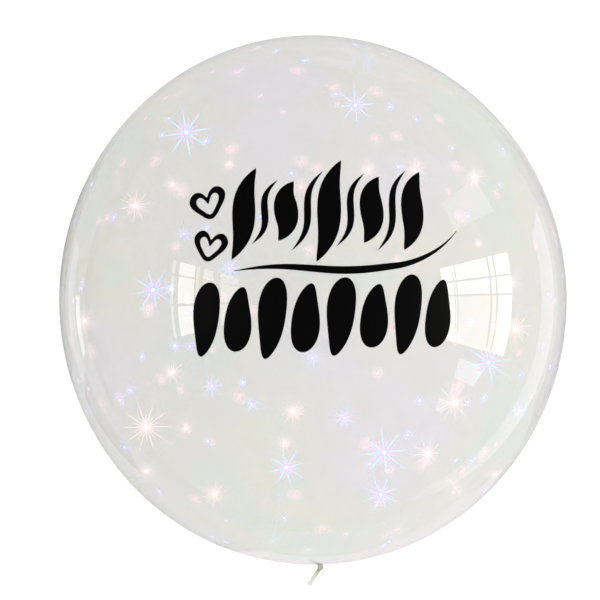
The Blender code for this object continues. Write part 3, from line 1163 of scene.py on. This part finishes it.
def guide_ball(name):
    """A plain spheroid to scatter on, open at the neck end, where the pleats are."""
    inside = 1 - FILM_CLEARANCE / HALF_WIDTH
    points = []
    for row in range(GUIDE_ROWS + 1):
        angle = GUIDE_FROM_CROWN + (GUIDE_TO_NECK - GUIDE_FROM_CROWN) * row / GUIDE_ROWS
        for step in range(GUIDE_SEGMENTS):
            around = math.tau * step / GUIDE_SEGMENTS
            ray = (math.sin(around) * math.sin(angle), math.cos(angle), math.cos(around) * math.sin(angle))
            points.append(CENTRE + Vector([r * axis * inside for r, axis in zip(ray, AXES)]))
    faces = []
    for row in range(GUIDE_ROWS):
        for step in range(GUIDE_SEGMENTS):
            here = row * GUIDE_SEGMENTS + step
            after = row * GUIDE_SEGMENTS + (step + 1) % GUIDE_SEGMENTS
            faces.append((here, here + GUIDE_SEGMENTS, after + GUIDE_SEGMENTS, after))
    return mesh_object(name, points, faces)


print("guide ball:", GUIDE_ROWS * GUIDE_SEGMENTS, "faces")

# %% Scatter the spangles
# Name, then the tree's inputs: piece, foil, least distance apart, how many a square metre,
# least and greatest radius, seed.
for name, *values in (
    ("spangles_cool", cool_spangle, cool_foil, 0.075, 90.0, 0.0060, 0.0090, 23),
    ("spangles_warm", warm_spangle, gelatine, 0.050, 160.0, 0.0055, 0.0135, 4),
):
    laid = bake(guide_ball(name), tree, values)
    print(name, len(laid.data.polygons) // len(values[0].data.polygons), "spangles")
for source in (warm_burst, cool_burst, warm_spangle, cool_spangle):
    bpy.data.objects.remove(source)

# %% [markdown]
# ## The studio
#
# The balloon lies on a sheet of matt white paper in even white light, so that both it and
# what shows through it come out nearly white. A clear film is seen mostly by what it
# mirrors, so a plain room stands round it: grey walls, a grey floor card, a tall window on
# either side with pale patches of wall near the right one, and pale strips that lie on the
# card, which show along the ball's rim. The room is for the film's mirror images alone. It is
# hidden from the camera and from every ray but a reflected one, and gives the paper no light.

# %% Paper floor and even light
EVEN_LIGHT = 1.25
PAPER_MOTTLE = 1 / 60
PAPER_HALF = 20.0
PAPER_DROP = 0.0006

scene = bpy.context.scene
scene.view_settings.view_transform = "Standard"
world = bpy.data.worlds.new("even_white")
world.use_nodes = True
scene.world = world
background = world.node_tree.nodes["Background"]
feed(world.node_tree, background, {"Color": linear("#ffffff"), "Strength": EVEN_LIGHT})

paper, tree, shader = new_material("matt_white_paper")
white = ramp(tree, noise(tree, PAPER_MOTTLE), ((0.0, "#f7f7f7"), (1.0, "#fbfbfb")))
feed(tree, shader, {"Base Color": white, "Roughness": 0.9, "Specular IOR Level": 0.1})
corners = [(x * PAPER_HALF, y * PAPER_HALF, -PAPER_DROP) for x, y in ((-1, -1), (1, -1), (1, 1), (-1, 1))]
floor = mesh_object("paper_floor", corners, [(0, 1, 2, 3)], paper)
print("paper", 2 * PAPER_HALF, "m across in light of strength", EVEN_LIGHT)


# %% A room that only the film mirrors
def mirrored_only(obj):
    """Keeps a piece of the room out of everything but reflections."""
    obj.visible_camera = False
    obj.visible_diffuse = False
    obj.visible_transmission = False
    obj.visible_shadow = False


def light_material(name):
    """A material that only glows, with its tree and its Emission node."""
    material = bpy.data.materials.new(name)
    material.use_nodes = True
    tree = material.node_tree
    tree.nodes.clear()
    glow = add(tree, "ShaderNodeEmission")
    add(tree, "ShaderNodeOutputMaterial", {}, {"Surface": glow.outputs[0]})
    return material, tree, glow


WALLS_RADIUS = 3.0
WALLS_HEIGHT = 3.0
WALLS_SIDES = 48
CARD_HEIGHT = 0.001
TOWARDS_BRIGHT_WALL = (0.8, -0.6, 0.0)
SHADE_REACH = 0.8
DIM_WALL = 0.60
BRIGHT_WALL = 0.90

walls_material, tree, glow = light_material("room_walls_light")
shade = shade_across(tree, TOWARDS_BRIGHT_WALL, SHADE_REACH, DIM_WALL, BRIGHT_WALL)
feed(tree, glow, {"Strength": shade})
points = [(0, 0, WALLS_HEIGHT)]
for height in (WALLS_HEIGHT, CARD_HEIGHT):
    for step in range(WALLS_SIDES):
        angle = math.tau * step / WALLS_SIDES
        points.append((WALLS_RADIUS * math.sin(angle), WALLS_RADIUS * math.cos(angle), height))
points.append((0, 0, CARD_HEIGHT))
walls = mesh_object("room_walls", points, turned_faces(2, WALLS_SIDES), walls_material, smooth=False)
mirrored_only(walls)
print("room", 2 * WALLS_RADIUS, "m across")


# %% Flat pieces of the room, seen in the film
LYING_HEIGHT = 0.002


def glowing_panes(name, panes, tint, distance=0.0, turn=0.0, lying=False):
    """
    Rectangles of light, each of (across from, to, up from, to, strength). They stand that far
    to the right of the balloon, turned about it, or lie on the card with up as to the right.
    """
    material, tree, glow = light_material(f"{name}_light")
    feed(tree, glow, {"Color": linear(tint), "Strength": point_number(tree, "pane_light")})
    swing = Matrix.Rotation(turn, 3, "Z")
    points, lights = [], []
    for y0, y1, z0, z1, light in panes:
        for y, z in ((y0, z0), (y1, z0), (y1, z1), (y0, z1)):
            corner = (z, y, LYING_HEIGHT) if lying else (distance, y, z)
            points.append(swing @ Vector(corner))
            lights.append(light)
    faces = [tuple(range(4 * i, 4 * i + 4)) for i in range(len(panes))]
    mirrored_only(mesh_object(name, points, faces, material, smooth=False, numbers={"pane_light": lights}))
    print(name, len(faces), "panes")


def barred(columns, rows, lights):
    """Panes where each column (from, to, its share of light) meets each row (from, to) and its light."""
    return [
        (y0, y1, z0, z1, share * light)
        for y0, y1, share in columns
        for (z0, z1), light in zip(rows, lights)
    ]


# %% The two windows
RIGHT_WINDOW_AT = 1.7
RIGHT_WINDOW_TURN = math.radians(10)
RIGHT_ROWS = ((0.16, 0.43), (0.46, 0.535), (0.567, 1.13), (1.145, 1.178), (1.19, 1.40))
LEFT_WINDOW_AT = -1.6
LEFT_COLUMNS = ((-0.37, -0.03, 1.0), (0.0, 0.31, 0.95), (0.33, 0.48, 1.0))
LEFT_ROWS = ((1.12, 1.17), (1.25, 1.56), (1.60, 1.66), (1.76, 2.0), (2.2, 2.85))

glowing_panes(
    "window_right_upper",
    barred(((-0.288, -0.149, 1.0), (-0.131, 0.039, 1.0)), RIGHT_ROWS, (8.5, 6.0, 6.0, 6.0, 8.0)),
    "#fffefc",
    RIGHT_WINDOW_AT,
    RIGHT_WINDOW_TURN,
)
glowing_panes(
    "window_right_lower",
    barred(((-0.859, -0.306, 1.0),), RIGHT_ROWS, (7.0, 5.0, 5.0, 5.0, 8.0)),
    "#fff4e2",
    RIGHT_WINDOW_AT,
    RIGHT_WINDOW_TURN,
)
glowing_panes(
    "window_left",
    barred(LEFT_COLUMNS, LEFT_ROWS, (3.6, 6.4, 3.4, 3.8, 3.2)),
    "#fffaf7",
    LEFT_WINDOW_AT,
)

# %% Pale patches of wall round the right window
glowing_panes(
    "wall_patches",
    (
        (-1.34, -1.04, 0.52, 1.02, 3.6),
        (-2.10, -1.80, 0.90, 1.15, 3.0),
        (0.40, 0.74, 0.15, 0.95, 2.2),
    ),
    "#f8f0f8",
    RIGHT_WINDOW_AT,
    RIGHT_WINDOW_TURN,
)

# %% Strips on the floor card
glowing_panes(
    "strips_right",
    (
        (-1.25, 0.2, 0.56, 0.80, 1.5),
        (-0.24, 0.36, 0.34, 0.50, 0.66),
        (-0.50, -0.29, -0.12, 0.34, 1.05),
    ),
    "#fbf4fb",
    lying=True,
)
glowing_panes(
    "strips_left",
    (
        (-0.134, 0.03, -0.70, -0.63, 2.0),
        (-0.16, 0.14, -0.60, -0.50, 1.0),
        (-0.40, 0.30, -0.96, -0.80, 0.35),
        (0.03, 0.18, -0.46, -0.30, 0.42),
        (-0.10, 0.03, -0.46, -0.30, 0.52),
        (0.18, 0.25, -0.44, -0.32, 0.52),
        (-0.42, -0.17, -0.60, -0.44, 0.42),
    ),
    "#ffffff",
    lying=True,
)

# %% [markdown]
# ## The camera
#
# The camera hangs straight above, far off with a long lens, so the ball shows its true
# outline and the print isn't swollen by nearness. It is turned by about a degree and a half,
# since the balloon's neck points a little to the right of straight down, and it stands a
# little to the left, so the ball comes right of the picture's middle.

# %% Camera
FRAME_PIXELS = 600
BALL_HALF_PIXELS = 254
BALL_RIGHT_PIXELS = 13

camera_data = bpy.data.cameras.new("camera")
camera = bpy.data.objects.new("camera", camera_data)
scene.collection.objects.link(camera)
ball_slope = HALF_WIDTH / math.sqrt(CAMERA_DISTANCE**2 - HALF_WIDTH**2)
pixels_per_slope = BALL_HALF_PIXELS / ball_slope
camera_data.lens = camera_data.sensor_width * pixels_per_slope / FRAME_PIXELS
aside = BALL_RIGHT_PIXELS / pixels_per_slope * CAMERA_DISTANCE
camera.rotation_euler = (0, 0, -LIES_TURNED)
camera.location = CENTRE + Vector(
    (-aside * math.cos(LIES_TURNED), aside * math.sin(LIES_TURNED), CAMERA_DISTANCE)
)
scene.camera = camera
print("lens", round(camera_data.lens), "mm at", CAMERA_DISTANCE, "m")
